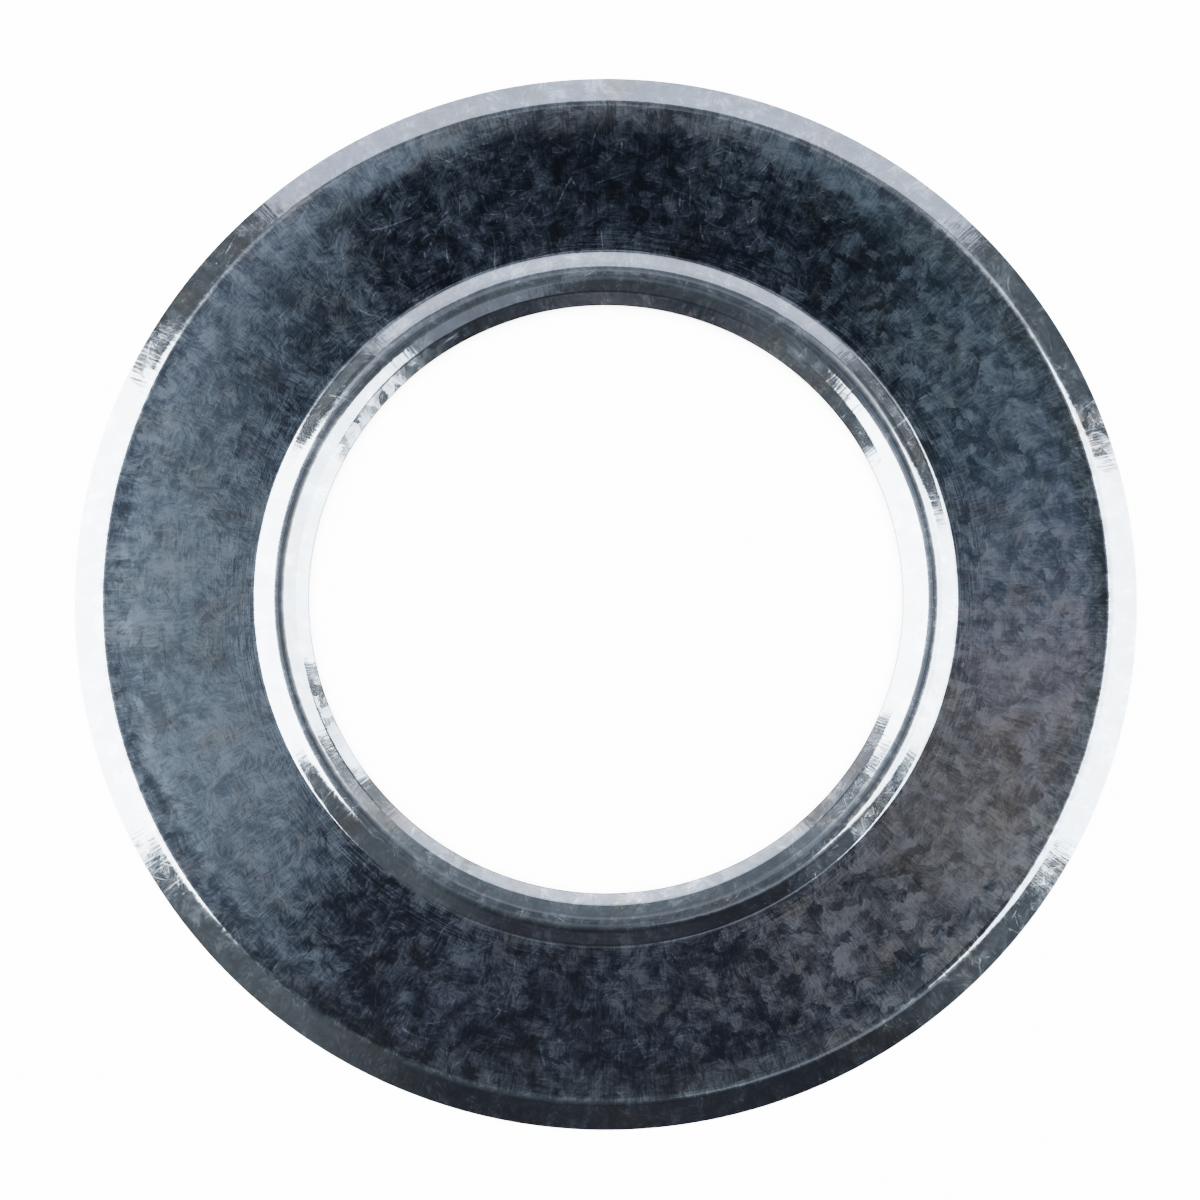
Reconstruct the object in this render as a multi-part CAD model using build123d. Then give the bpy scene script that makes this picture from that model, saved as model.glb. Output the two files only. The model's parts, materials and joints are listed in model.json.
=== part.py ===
from build123d import *

import math
import os

# Large-bore pressed washer ring, the pipe-rosette kind: one round piece of galvanised sheet steel.
# From the outside inwards it has a turned-down conical rim, a slightly sloping shoulder, a wide flat
# field, and a raised bead. The bead's inner side is a lip that slopes gently and then turns down
# into the bore.
# Millimetres, +Z up. The origin is on the ring's axis, at the level of the rim's foot.

# Driving dimensions
SHEET = 0.6  # thickness of the steel
OUTER_R = 108.5  # outside of the rim
BORE_R = 60.5  # wall of the hole, for a 120 mm pipe

RIM_WIDTH = 5.4  # radial width of the turned-down rim
RIM_SLOPE = 30.0  # degrees below the horizontal
RIM_BEND_R = 4.5  # bend between the rim and the shoulder
RIM_WALL = 0.35  # upright part of the trimmed outer edge, above the flat foot

SHOULDER_WIDTH = 5.1
SHOULDER_SLOPE = 3.0
CREASE_R = 60.0  # faint, gradual bend between the shoulder and the field

BEAD_FOOT_R = 71.5  # where the field ends and the bead starts to rise
BEAD_WIDTH = 4.2  # radial width of the bead's outer slope
BEAD_SLOPE = 35.0
BEAD_FOOT_BEND_R = 1.8
CROWN_BEND_R = 4.2  # rounded top of the bead

LIP_WIDTH = 4.2  # radial width of the lip's gentle part
LIP_SLOPE = 22.0
LIP_TURN_BEND_R = 1.5  # where the lip turns down into the bore
LIP_END_SLOPE = 40.0
TRIM_ALLOWANCE = 3.0  # sheet pressed past both finished edges before trimming


def slope_height(width, slope):
    """Height gained across a radial width at a slope in degrees."""
    return width * math.tan(math.radians(slope))


# Worked-out dimensions, all on the upper surface of the sheet
RIM_TOP_R = OUTER_R - RIM_WIDTH
FIELD_R = RIM_TOP_R - SHOULDER_WIDTH
CROWN_R = BEAD_FOOT_R - BEAD_WIDTH
LIP_TURN_R = CROWN_R - LIP_WIDTH
RIM_TOP_Z = RIM_WALL + slope_height(RIM_WIDTH, RIM_SLOPE)
FIELD_Z = RIM_TOP_Z + slope_height(SHOULDER_WIDTH, SHOULDER_SLOPE)
CROWN_Z = FIELD_Z + slope_height(BEAD_WIDTH, BEAD_SLOPE)
LIP_TURN_Z = CROWN_Z - slope_height(LIP_WIDTH, LIP_SLOPE)


def upper_line():
    """The sheet's upper surface in section, from past the rim's edge to past the bore."""
    past_bore_r = BORE_R - TRIM_ALLOWANCE
    past_bore_z = LIP_TURN_Z - slope_height(LIP_TURN_R - past_bore_r, LIP_END_SLOPE)
    return FilletPolyline(
        (OUTER_R + TRIM_ALLOWANCE, RIM_WALL - slope_height(TRIM_ALLOWANCE, RIM_SLOPE)),
        (RIM_TOP_R, RIM_TOP_Z),
        (FIELD_R, FIELD_Z),
        (BEAD_FOOT_R, FIELD_Z),
        (CROWN_R, CROWN_Z),
        (LIP_TURN_R, LIP_TURN_Z),
        (past_bore_r, past_bore_z),
        radius=(RIM_BEND_R, CREASE_R, BEAD_FOOT_BEND_R, CROWN_BEND_R, LIP_TURN_BEND_R),
    )


def sheet_section():
    """The pressed sheet in section, trimmed upright at both edges and flat along the foot."""
    pressed = make_face(offset(upper_line(), amount=SHEET, side=Side.LEFT, closed=True))
    width = OUTER_R - BORE_R
    height = CROWN_Z + SHEET
    window = Pos(BORE_R + width / 2, height / 2) * Rectangle(width, height)
    return pressed & window


def washer_ring():
    """The whole ring, turned from its section."""
    ring = revolve(Plane.XZ * sheet_section(), axis=Axis.Z)
    ring.label = "washer_ring"
    return ring


os.makedirs("parts", exist_ok=True)
export_step(washer_ring(), "parts/washer_ring.step")
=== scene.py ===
import json
import math

import bpy
from mathutils import Matrix, Vector, noise


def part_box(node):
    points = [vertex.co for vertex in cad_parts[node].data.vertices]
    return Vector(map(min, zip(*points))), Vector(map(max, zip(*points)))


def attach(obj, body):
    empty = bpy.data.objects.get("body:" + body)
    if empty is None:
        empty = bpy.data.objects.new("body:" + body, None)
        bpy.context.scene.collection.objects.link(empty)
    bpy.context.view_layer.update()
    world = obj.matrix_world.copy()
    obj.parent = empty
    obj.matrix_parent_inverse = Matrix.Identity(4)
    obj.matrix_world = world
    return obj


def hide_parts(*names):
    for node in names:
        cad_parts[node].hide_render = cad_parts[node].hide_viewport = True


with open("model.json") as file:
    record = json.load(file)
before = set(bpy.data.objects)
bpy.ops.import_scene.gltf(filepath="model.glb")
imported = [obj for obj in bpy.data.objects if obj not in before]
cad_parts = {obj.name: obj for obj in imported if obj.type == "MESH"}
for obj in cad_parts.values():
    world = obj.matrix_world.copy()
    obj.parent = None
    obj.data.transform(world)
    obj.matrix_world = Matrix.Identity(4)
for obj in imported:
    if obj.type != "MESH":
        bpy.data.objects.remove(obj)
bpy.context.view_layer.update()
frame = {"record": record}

# One pressed ring of galvanised sheet steel, lying on its rim's foot on a pale floor.
# Metres, +Z up. The ring's axis is Z, and the photographer's side is -Y.

# ---------------------------------------------------------------- sizes
MM = 0.001


def mount(name):
    """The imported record's entry for one mount."""
    return next(m for m in frame["record"]["mounts"] if m["name"] == name)


OUTER_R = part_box("washer_ring")[1].x
BORE_R = mount("bore")["dims"]["r_mm"] * MM

SHEET = 0.6 * MM
RIM_WIDTH = 5.4 * MM
RIM_SLOPE = math.radians(30)
RIM_WALL = 0.35 * MM
RIM_BEND = 4.5 * MM
SHOULDER_WIDTH = 5.1 * MM
SHOULDER_SLOPE = math.radians(3)
CREASE_BEND = 60 * MM
BEAD_FOOT_R = 71.5 * MM
BEAD_WIDTH = 4.2 * MM
BEAD_SLOPE = math.radians(35)
BEAD_FOOT_BEND = 1.8 * MM
CROWN_BEND = 4.2 * MM
LIP_WIDTH = 4.2 * MM
LIP_SLOPE = math.radians(22)
LIP_TURN_BEND = 1.5 * MM
LIP_END_SLOPE = math.radians(40)
EDGE_ROLL = 0.22 * MM  # the sheared edge draws the upper skin over by this radius
BURR_ROUND = 0.06 * MM

RIM_TOP_R = OUTER_R - RIM_WIDTH
FIELD_R = RIM_TOP_R - SHOULDER_WIDTH
CROWN_R = BEAD_FOOT_R - BEAD_WIDTH
CREST_R = CROWN_R - 0.54 * MM  # the highest part of the rounded crown
LIP_TURN_R = CROWN_R - LIP_WIDTH
FOOT_R = OUTER_R - (SHEET / math.cos(RIM_SLOPE) - RIM_WALL) / math.tan(RIM_SLOPE)
RIM_TOP_Z = RIM_WALL + RIM_WIDTH * math.tan(RIM_SLOPE)
FIELD_Z = RIM_TOP_Z + SHOULDER_WIDTH * math.tan(SHOULDER_SLOPE)
CROWN_Z = FIELD_Z + BEAD_WIDTH * math.tan(BEAD_SLOPE)
LIP_TURN_Z = CROWN_Z - LIP_WIDTH * math.tan(LIP_SLOPE)
BORE_TOP_Z = LIP_TURN_Z - (LIP_TURN_R - BORE_R) * math.tan(LIP_END_SLOPE)
BORE_END_Z = BORE_TOP_Z - SHEET / math.cos(LIP_END_SLOPE)

SEGMENTS = 592  # round the ring
BEND_STEP = math.radians(3)
LONGEST_SPAN = 2.6 * MM
WARP = 0.12 * MM  # how far the thin sheet is out of true
WARP_LENGTH = 45 * MM


# ---------------------------------------------------------------- the ring's section
def upper_corners():
    """Corners of the upper surface with their bend radii, from the rim's edge to the bore."""
    return [
        (Vector((OUTER_R, RIM_WALL)), EDGE_ROLL),
        (Vector((RIM_TOP_R, RIM_TOP_Z)), RIM_BEND),
        (Vector((FIELD_R, FIELD_Z)), CREASE_BEND),
        (Vector((BEAD_FOOT_R, FIELD_Z)), BEAD_FOOT_BEND),
        (Vector((CROWN_R, CROWN_Z)), CROWN_BEND),
        (Vector((LIP_TURN_R, LIP_TURN_Z)), LIP_TURN_BEND),
        (Vector((BORE_R, BORE_TOP_Z)), EDGE_ROLL),
    ]


def turned(vector):
    """The vector a quarter turn anticlockwise."""
    return Vector((-vector.y, vector.x))


def lower_corners(upper):
    """The corners under the given ones, one sheet's thickness away, with their bend radii."""
    lower = []
    for (before, _), (corner, bend), (after, _) in zip(upper, upper[1:], upper[2:]):
        into = (corner - before).normalized()
        out = (after - corner).normalized()
        both = turned(into) + turned(out)
        down = both * 2 / both.length_squared
        bulges_up = into.cross(out) > 0
        lower.append((corner + down * SHEET, bend - SHEET if bulges_up else bend + SHEET))
    return lower


def ring_outline():
    """The closed section as corners with bend radii, round from the foot's outer corner."""
    upper = upper_corners()
    outline = [(Vector((OUTER_R, 0)), BURR_ROUND)] + upper
    outline += [(Vector((BORE_R, BORE_END_Z)), BURR_ROUND)] + lower_corners(upper)[::-1]
    return outline + [(Vector((FOOT_R, 0)), BURR_ROUND)]


def bend_points(before, corner, after, bend):
    """One corner as the points of its arc."""
    into = (corner - before).normalized()
    out = (after - corner).normalized()
    turn = math.atan2(into.cross(out), into.dot(out))
    start = corner - into * bend * math.tan(abs(turn) / 2)
    centre = start + turned(into) * math.copysign(bend, turn)
    step = BEND_STEP if bend > EDGE_ROLL else 4 * BEND_STEP
    steps = max(2, math.ceil(abs(turn) / step))
    turns = [turn * i / steps for i in range(steps + 1)]
    return [centre + Matrix.Rotation(t, 2) @ (start - centre) for t in turns]


def section_points():
    """The closed section as points, with its bends rounded and its long spans divided."""
    outline = ring_outline()
    rounded = []
    for i, (corner, bend) in enumerate(outline):
        before = outline[i - 1][0]
        after = outline[(i + 1) % len(outline)][0]
        rounded += bend_points(before, corner, after, bend)
    points = []
    for here, following in zip(rounded, rounded[1:] + rounded[:1]):
        spans = max(1, math.ceil((following - here).length / LONGEST_SPAN))
        points += [here.lerp(following, i / spans) for i in range(spans)]
    return points


# ---------------------------------------------------------------- the ring's mesh
def warp_share(radius):
    """How freely the sheet can warp: not at all at the foot, a little at the bore."""
    from_rim = min(1, max(0, (FOOT_R - radius) / (RIM_WIDTH + SHOULDER_WIDTH)))
    from_bore = min(1, max(0, (radius - BORE_R) / (BEAD_FOOT_R - BORE_R)))
    return math.sin(from_rim * math.pi / 2) * (0.35 + 0.65 * from_bore)


def warped(x, y, z):
    """The point where the thin sheet, a little out of true, has it: never above its true height."""
    wave = noise.noise(Vector((x, y, 0)) / WARP_LENGTH)
    return x, y, z - WARP * warp_share(math.hypot(x, y)) * (1 + wave) / 2


def face_kind(polygon):
    """0 for the upper skin, 1 for the under skin, 2 for the sheared edges and the foot."""
    x, y, z = polygon.center
    radius = math.hypot(x, y)
    sheared = radius < BORE_R + BURR_ROUND / 2 or radius > OUTER_R - BURR_ROUND / 2
    if sheared or z < BURR_ROUND / 2:
        return 2
    return 0 if polygon.normal.z > 0 else 1


def ring_mesh(materials):
    """Turns the section round Z, closed and smooth."""
    section = section_points()
    count = len(section)
    points = []
    faces = []
    for turn in range(SEGMENTS):
        angle = 2 * math.pi * turn / SEGMENTS
        across, along = math.cos(angle), math.sin(angle)
        points += [warped(p.x * across, p.x * along, p.y) for p in section]
        here = turn * count
        following = (turn + 1) % SEGMENTS * count
        for i in range(count):
            j = (i + 1) % count
            faces.append((here + i, following + i, following + j, here + j))
    mesh = bpy.data.meshes.new("galvanised_ring")
    mesh.from_pydata(points, [], faces)
    for material in materials:
        mesh.materials.append(material)
    mesh.shade_smooth()
    mesh.polygons.foreach_set("material_index", [face_kind(p) for p in mesh.polygons])
    return mesh


# ---------------------------------------------------------------- writing node trees
class Nodes:
    """A short way to write a shader node tree."""

    def __init__(self, tree):
        self.tree = tree
        tree.nodes.clear()

    def add(self, kind, inputs=None, **settings):
        node = self.tree.nodes.new("ShaderNode" + kind)
        for name, value in settings.items():
            setattr(node, name, value)
        for socket, value in (inputs or {}).items():
            if isinstance(value, bpy.types.NodeSocket):
                self.tree.links.new(value, node.inputs[socket])
            else:
                node.inputs[socket].default_value = value
        return node

    def math(self, operation, *values, clamp=False):
        inputs = dict(enumerate(values))
        return self.add("Math", inputs, operation=operation, use_clamp=clamp).outputs[0]

    def vector(self, operation, *values):
        node = self.add("VectorMath", dict(enumerate(values)), operation=operation)
        return node.outputs["Value" if operation in ("LENGTH", "DOT_PRODUCT") else "Vector"]

    def scaled(self, vector, factor):
        node = self.add("VectorMath", {"Vector": vector, "Scale": factor}, operation="SCALE")
        return node.outputs["Vector"]

    def rotated(self, vector, angle):
        inputs = {"Vector": vector, "Angle": angle}
        return self.add("VectorRotate", inputs, rotation_type="Z_AXIS").outputs["Vector"]

    def remap(self, value, low, high, to_low=0.0, to_high=1.0, smooth=True):
        kind = "SMOOTHSTEP" if smooth else "LINEAR"
        inputs = {0: value, 1: low, 2: high, 3: to_low, 4: to_high}
        return self.add("MapRange", inputs, interpolation_type=kind).outputs[0]

    def total(self, *parts):
        """The sum of value and weight pairs."""
        sum_so_far = 0.0
        for value, weight in parts:
            sum_so_far = self.math("MULTIPLY_ADD", value, weight, sum_so_far)
        return sum_so_far

    def noise(self, vector, size, detail=2.0, roughness=0.5):
        inputs = {"Vector": vector, "Scale": 1 / size, "Detail": detail, "Roughness": roughness}
        return self.add("TexNoise", inputs)

    def jitter(self, vector, size, amount, detail=2.0):
        """A small random shift that varies over the given size."""
        colour = self.noise(vector, size, detail, 0.6).outputs["Color"]
        return self.scaled(self.vector("SUBTRACT", colour, (0.5, 0.5, 0.5)), amount)

    def cells(self, vector, size):
        """Random-coloured grains, about the given size across."""
        inputs = {"Vector": vector, "Scale": 1 / size}
        return self.add("TexVoronoi", inputs, voronoi_dimensions="2D")

    def split(self, colour):
        return self.add("SeparateColor", {0: colour}).outputs

    def mixed(self, factor, a, b, blend="MIX"):
        node = self.add("Mix", {"Factor": factor}, data_type="RGBA", blend_type=blend)
        for socket, value in ((node.inputs[6], a), (node.inputs[7], b)):
            if isinstance(value, bpy.types.NodeSocket):
                self.tree.links.new(value, socket)
            else:
                socket.default_value = (*value, 1)
        return node.outputs[2]

    def ramp(self, value, stops):
        node = self.add("ValToRGB", {"Fac": value})
        places = node.color_ramp.elements
        while len(places) < len(stops):
            places.new(0.5)
        for place, (position, colour) in zip(places, stops):
            place.position = position
            place.color = (*colour, 1)
        return node.outputs["Color"]


# ---------------------------------------------------------------- materials
ZINC_TONES = [(0, (0.27, 0.29, 0.315)), (0.5, (0.56, 0.595, 0.63)), (1, (0.9, 0.935, 0.97))]


def spangle(n, flat):
    """Feathery zinc grains in cloudy smudges. Gives their lightness, about 1.2 on average, and
    the lean of the grains' faces."""
    drawn = n.vector("ADD", flat, n.jitter(flat, 6 * MM, 4 * MM, 4))
    growth = n.math("MULTIPLY", n.split(n.cells(drawn, 3 * MM).outputs["Color"])[0], 2 * math.pi)
    along = n.vector("MULTIPLY", n.rotated(flat, growth), (0.25, 1, 1))
    feather = n.noise(along, 0.65 * MM, 2, 0.6)
    frayed = n.vector("SUBTRACT", feather.outputs["Color"], (0.5, 0.5, 0.5))
    grains = n.cells(n.vector("ADD", drawn, n.scaled(frayed, 2.2 * MM)), 2.2 * MM)
    lightness = n.total(
        (n.noise(drawn, 4 * MM, 5, 0.65).outputs["Fac"], 1.0),
        (n.noise(flat, 20 * MM, 3, 0.55).outputs["Fac"], 0.6),
        (feather.outputs["Fac"], 0.6),
        (n.split(grains.outputs["Color"])[0], 0.22),
    )
    lean = n.vector("SUBTRACT", grains.outputs["Color"], (0.5, 0.5, 0.5))
    return lightness, n.scaled(lean, 0.005)


def streaks(n, outward, radius, around, outwards):
    """Fine marks of about the given sizes round the ring and outwards from its axis."""
    depth = n.add("CombineXYZ", {"Z": n.math("DIVIDE", radius, outwards)}).outputs[0]
    return n.noise(n.vector("ADD", n.scaled(outward, FIELD_R / around), depth), 1, 2).outputs["Fac"]


def scratches(n, flat, angle, spread, fewest):
    """Long hairlines at one angle. fewest is the noise level that a line needs."""
    bent = n.vector("ADD", n.rotated(flat, angle), n.jitter(flat, 22 * MM, 9 * MM))
    lines = n.vector("MULTIPLY", bent, (1 / spread, 1, 1))
    return n.remap(n.noise(lines, 0.5 * MM, 1).outputs["Fac"], fewest, fewest + 0.05)


def rub_marks(n, flat, outward, radius):
    """Marks that run outwards, most across the shoulder, and marks that run round the ring, most
    by the bead. Gives the outward ones alone, and then all of them together."""
    radial = n.math("SUBTRACT", streaks(n, outward, radius, 0.35 * MM, 5 * MM), 0.5)
    around = n.math("SUBTRACT", streaks(n, outward, radius, 9 * MM, 0.3 * MM), 0.5)
    by_rim = n.remap(radius, FIELD_R - 6 * MM, RIM_TOP_R, 0.3, 0.45)
    by_bead = n.math(
        "MULTIPLY",
        n.remap(radius, BEAD_FOOT_R + 10 * MM, BEAD_FOOT_R, 0.25, 0.95),
        n.remap(n.noise(flat, 30 * MM).outputs["Fac"], 0.4, 0.6, 0.4, 1),
    )
    return radial, n.total((radial, by_rim), (around, by_bead))


def hairline_scratches(n, flat, wear):
    """Small flecks, and scratches at four angles."""
    marks = n.remap(n.noise(flat, 1.1 * MM, 1).outputs["Fac"], 0.76, 0.82, 0, 0.8)
    for angle, spread, fewest in ((0.4, 60, 0.71), (1.5, 40, 0.7), (2.3, 60, 0.7), (2.9, 40, 0.72)):
        marks = n.math("MAXIMUM", marks, scratches(n, flat, angle, spread, fewest))
    return n.math("MULTIPLY", marks, wear)


def zinc_colour(n, flat, radius, tone, pressed):
    """The zinc's tones: paler where it is pressed, warm in patches, darkest at the cut edge."""
    paler = n.math("MULTIPLY", pressed, 0.7)
    bright = n.mixed(paler, n.ramp(tone, ZINC_TONES), (0.68, 0.71, 0.74), "LIGHTEN")
    warmth = n.remap(n.noise(flat, 9 * MM, 3).outputs["Fac"], 0.48, 0.72, 0, 0.8)
    warm = n.mixed(warmth, bright, (1, 0.91, 0.82), "MULTIPLY")
    cut = n.remap(radius, BORE_R + 0.3 * MM, BORE_R + 0.15 * MM, 0, 0.85)
    return n.mixed(cut, warm, (0.13, 0.12, 0.11))


def zinc_roughness(n, radius, tone, hairlines, steep):
    """Rougher where the zinc is light, scratched or steep, and most on the bead's rubbed crest."""
    rough = n.remap(tone, 0, 1, 0.04, 0.11, smooth=False)
    rough = n.math("MULTIPLY_ADD", hairlines, 0.09, rough)
    rough = n.math("MULTIPLY_ADD", steep, 0.04, rough)
    from_crest = n.math("ABSOLUTE", n.math("SUBTRACT", radius, CREST_R))
    return n.math("ADD", rough, n.remap(from_crest, 1.3 * MM, 0.4 * MM, 0, 0.09))


def zinc_relief(n, flat, facing, tone):
    """The grains' slight relief on the given direction."""
    fine = n.noise(flat, 0.35 * MM, 2).outputs["Fac"]
    relief = n.add(
        "Bump",
        {
            "Height": n.total((fine, 0.5), (tone, 0.5)),
            "Distance": 0.003 * MM,
            "Normal": n.vector("NORMALIZE", facing),
        },
    )
    return relief.outputs["Normal"]


def galvanised_steel(name, seed, wear):
    """Hot-dip zinc: small soft spangle, cloudy smudges, rub marks and fine scratches."""
    material = bpy.data.materials.new(name)
    material.use_nodes = True
    n = Nodes(material.node_tree)
    place = n.add("TexCoord").outputs["Object"]
    flat = n.vector("MULTIPLY_ADD", place, (1, 1, 0), (seed, -seed, 0))
    level = n.vector("MULTIPLY", place, (1, 1, 0))
    radius = n.vector("LENGTH", level)
    outward = n.vector("NORMALIZE", level)
    lightness, lean = spangle(n, flat)
    radial, rubbed = rub_marks(n, flat, outward, radius)
    hairlines = hairline_scratches(n, flat, wear)

    # The press has stretched the rim, the bead and the lip, which leaves them smoother and paler.
    normal = n.add("NewGeometry").outputs["Normal"]
    steep = n.remap(n.math("ABSOLUTE", n.split(normal)[2]), 0.99, 0.93)
    in_bead = n.remap(radius, BEAD_FOOT_R + 0.5 * MM, BEAD_FOOT_R - MM)
    pressed = n.math("MAXIMUM", steep, in_bead)
    rubbing = n.remap(pressed, 0, 1, wear, 0.25 * wear)
    tone = n.remap(n.math("MULTIPLY_ADD", rubbed, rubbing, lightness), 0.93, 1.57)

    # The pressed slopes are wavier than the field, which breaks up the ends of their highlights.
    tangent = n.vector("CROSS_PRODUCT", (0, 0, 1), outward)
    wavy = n.scaled(tangent, n.math("MULTIPLY", n.math("MULTIPLY", radial, steep), 0.09))
    leaning = n.scaled(lean, n.math("MULTIPLY_ADD", steep, 3, 1))
    facing = n.vector("ADD", n.vector("ADD", normal, leaning), wavy)

    shader = n.add(
        "BsdfPrincipled",
        {
            "Base Color": zinc_colour(n, flat, radius, tone, pressed),
            "Metallic": 1.0,
            "Roughness": zinc_roughness(n, radius, tone, hairlines, steep),
            "Normal": zinc_relief(n, flat, facing, tone),
        },
    )
    n.add("OutputMaterial", {"Surface": shader.outputs[0]})
    return material


def sheared_steel():
    """The cut edge, where bare steel shows under the zinc in upright shear marks."""
    material = bpy.data.materials.new("sheared_edge")
    material.use_nodes = True
    n = Nodes(material.node_tree)
    place = n.add("TexCoord").outputs["Object"]
    marks = n.noise(n.vector("MULTIPLY", place, (1, 1, 0.1)), 0.3 * MM, 3).outputs["Fac"]
    colour = n.ramp(marks, [(0.35, (0.2, 0.17, 0.15)), (0.65, (0.45, 0.43, 0.42))])
    bump = n.add("Bump", {"Height": marks, "Distance": 0.02 * MM})
    shader = n.add(
        "BsdfPrincipled",
        {
            "Base Color": colour,
            "Metallic": 1.0,
            "Roughness": n.remap(marks, 0.3, 0.7, 0.3, 0.5),
            "Normal": bump.outputs["Normal"],
        },
    )
    n.add("OutputMaterial", {"Surface": shader.outputs[0]})
    return material


def floor_paint():
    """Plain matt near-white."""
    material = bpy.data.materials.new("pale_floor")
    material.use_nodes = True
    n = Nodes(material.node_tree)
    shader = n.add("BsdfPrincipled", {"Base Color": (0.9, 0.9, 0.9, 1), "Roughness": 0.9})
    n.add("OutputMaterial", {"Surface": shader.outputs[0]})
    return material


# ---------------------------------------------------------------- objects
def shown(name, data):
    """Puts data in the scene as an object."""
    made = bpy.data.objects.new(name, data)
    bpy.context.scene.collection.objects.link(made)
    return made


def make_ring():
    materials = [
        galvanised_steel("zinc_upper", 1.3, 1.0),
        galvanised_steel("zinc_under", 4.7, 0.4),
        sheared_steel(),
    ]
    ring = shown("galvanised_ring", ring_mesh(materials))
    weighted = ring.modifiers.new("true_bends", "WEIGHTED_NORMAL")
    weighted.keep_sharp = True
    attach(ring, "root")
    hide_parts("washer_ring")
    return ring


def make_floor():
    half = 5.0
    mesh = bpy.data.meshes.new("floor")
    corners = [(-half, -half, 0), (half, -half, 0), (half, half, 0), (-half, half, 0)]
    mesh.from_pydata(corners, [], [(0, 1, 2, 3)])
    mesh.materials.append(floor_paint())
    shown("floor", mesh)


# ---------------------------------------------------------------- light
def panel(name, azimuth, foot, head, width, radiance, aside=(0, 0)):
    """A flat soft light. foot and head are its lower and upper edges as (distance, height)
    from the ring's axis, in the direction of azimuth in degrees from +X. aside moves it in
    X and Y."""
    rise = Vector((head[0] - foot[0], 0, head[1] - foot[1]))
    light = bpy.data.lights.new(name, "AREA")
    light.shape = "RECTANGLE"
    light.size = width
    light.size_y = rise.length
    light.color = radiance
    light.energy = 4 * width * rise.length
    upright = rise.normalized()
    across = Vector((0, 1, 0))
    axes = Matrix((across, upright, across.cross(upright))).transposed().to_4x4()
    axes.translation = Vector((foot[0] + head[0], 0, foot[1] + head[1])) / 2
    lamp = shown(name, light)
    turn = Matrix.Rotation(math.radians(azimuth), 4, "Z")
    lamp.matrix_world = Matrix.Translation((*aside, 0)) @ turn @ axes
    lamp.visible_camera = False
    return lamp


def make_lights():
    """Two softboxes that lean over the ring from the left and right, with low wings beside the
    right one, a dim wall behind, and a fill above that lights the floor but leaves no mirror
    image in the steel."""
    left = (5.0, 5.5, 6.0)
    right = (3.6, 4.0, 4.4)
    upper_right = (2.8, 3.1, 3.4)
    wall = (0.47, 0.5, 0.59)
    panel("left_softbox", 180, (1.22, 0.14), (0.76, 1.48), 1.14, left, (0, 0.15))
    panel("right_softbox", 0, (1.75, 0.18), (1.08, 0.82), 1.08, right, (0, 0.04))
    panel("right_softbox_top", 0, (1.08, 0.82), (0.64, 1.25), 1.16, upper_right, (0, 0.02))
    panel("right_front_wing", -33, (1.6, 0.1), (1.6, 0.5), 0.86, right)
    panel("right_back_wing", 30, (1.6, 0.1), (1.6, 0.25), 0.7, right)
    panel("back_wall", 90, (1.4, 0.14), (1.4, 1.12), 2.13, wall, (0.06, 0))
    panel("back_skirting", 90, (1.4, 0.03), (1.4, 0.14), 1.9, wall, (-0.4, 0))
    fill = panel("floor_fill", 90, (1.2, 1.8), (-1.2, 1.8), 2.4, (24, 24, 24))
    fill.visible_glossy = False


# Each patch's centre and reach, as the X and Y of a unit direction, and its colour
PALE_PATCHES = (
    ((-0.096, 0.125), (0.055, 0.042), (0.32, 0.39, 0.465)),
    ((0.085, 0.114), (0.058, 0.03), (0.22, 0.212, 0.218)),
    ((0.09, 0.14), (0.045, 0.025), (0.15, 0.19, 0.245)),
    ((0.13, 0.06), (0.05, 0.06), (0.19, 0.2, 0.215)),
    ((0.065, -0.015), (0.045, 0.03), (0.1, 0.11, 0.125)),
    ((0.34, -0.46), (0.26, 0.1), (0.22, 0.25, 0.3)),
)


def pale_patch(n, way, room, centre, reach, colour):
    """A soft oval of light in the room, where it is paler than what is behind it."""
    from_centre = n.vector("SUBTRACT", way, (*centre, 0))
    share = n.vector("LENGTH", n.vector("DIVIDE", from_centre, (*reach, 1e6)))
    return n.mixed(n.remap(share, 1.25, 0.8), room, colour, "LIGHTEN")


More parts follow.
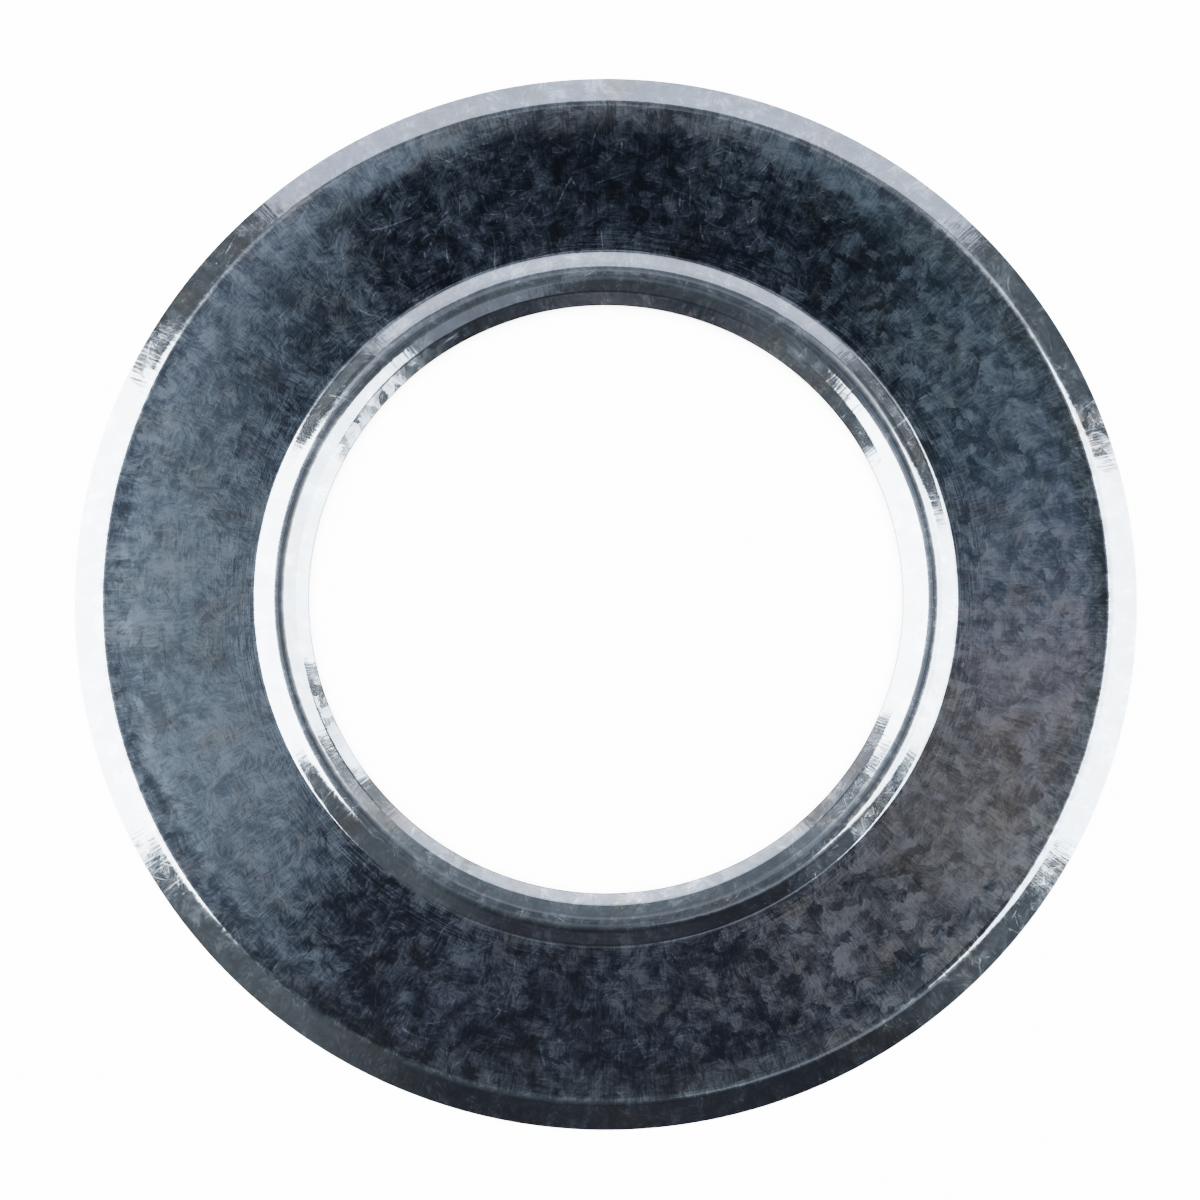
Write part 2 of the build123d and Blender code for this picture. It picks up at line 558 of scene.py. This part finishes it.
def make_world():
    """A dim blue room: dark overhead with a few pale patches, paler behind and by the softboxes."""
    world = bpy.data.worlds.new("dim_room")
    world.use_nodes = True
    bpy.context.scene.world = world
    n = Nodes(world.node_tree)
    way = n.add("TexCoord").outputs["Generated"]
    x, y, z = n.add("SeparateXYZ", {0: way}).outputs
    front_to_back = n.ramp(
        n.remap(y, -1, 1, smooth=False),
        [
            (0.03, (0.11, 0.115, 0.13)),
            (0.05, (0.045, 0.05, 0.06)),
            (0.13, (0.03, 0.034, 0.042)),
            (0.24, (0.065, 0.072, 0.082)),
            (0.36, (0.12, 0.145, 0.165)),
            (0.485, (0.065, 0.073, 0.085)),
            (0.54, (0.05, 0.058, 0.075)),
            (0.56, (0.045, 0.053, 0.068)),
            (0.595, (0.022, 0.03, 0.042)),
            (0.65, (0.11, 0.12, 0.135)),
            (0.7, (0.24, 0.26, 0.3)),
            (0.78, (0.14, 0.168, 0.195)),
        ],
    )
    side_to_side = n.ramp(
        n.remap(x, -0.6, 0.6, smooth=False),
        [
            (0.033, (0, 0, 0)),
            (0.117, (1.1, 1.2, 1.35)),
            (0.233, (0.4, 0.45, 0.52)),
            (0.35, (0.155, 0.19, 0.235)),
            (0.455, (0.19, 0.235, 0.29)),
            (0.475, (0, 0, 0)),
            (0.515, (0, 0, 0)),
            (0.545, (0.105, 0.14, 0.172)),
            (0.65, (0.09, 0.105, 0.12)),
            (0.767, (0.35, 0.39, 0.44)),
            (0.883, (1, 1.05, 1.1)),
            (0.967, (0, 0, 0)),
        ],
    )
    level_y = 0.14  # the camera leans by 8 degrees, so level steel mirrors the room round this Y
    in_front = n.math("MULTIPLY_ADD", n.math("ABSOLUTE", x), -0.6, n.math("SUBTRACT", level_y, y))
    beside = n.math("MULTIPLY", n.remap(in_front, 0.08, -0.02), n.remap(y, 0.69, 0.44))
    room = n.mixed(beside, front_to_back, side_to_side, "LIGHTEN")
    for centre, reach, colour in PALE_PATCHES:
        room = pale_patch(n, way, room, centre, reach, colour)
    room = n.mixed(n.remap(x, -0.25, -0.6), room, (0.11, 0.125, 0.14))
    room = n.mixed(n.remap(x, 0.5, 0.72), room, (0.1, 0.115, 0.13))
    low = n.remap(z, 0.3, 0.05)
    room = n.mixed(low, room, (0.35, 0.37, 0.4))
    background = n.add("Background", {"Color": room, "Strength": 1.0})
    n.add("OutputWorld", {"Surface": background.outputs[0]})


# ---------------------------------------------------------------- camera
def make_camera():
    """Almost straight down, leaning a few degrees towards the photographer's side."""
    distance = 1.6
    lean = math.radians(8)
    picture_to_ring = 1.1272  # the picture's width over the ring's
    view_width = 2 * OUTER_R * picture_to_ring
    aim = Vector((-1.2 * MM, -0.6 * MM, FIELD_Z))
    data = bpy.data.cameras.new("camera")
    data.sensor_width = 36
    data.lens = data.sensor_width * distance / view_width
    camera = shown("camera", data)
    back = Vector((0, -math.sin(lean), math.cos(lean)))
    camera.location = aim + back * distance
    camera.rotation_euler = (lean, 0, 0)
    bpy.context.scene.camera = camera


def set_tone():
    """A film-like shoulder, so that bright metal keeps its shape beside the white floor."""
    settings = bpy.context.scene.view_settings
    settings.view_transform = "Filmic"
    settings.look = "Medium High Contrast"


make_ring()
make_floor()
make_lights()
make_world()
make_camera()
set_tone()
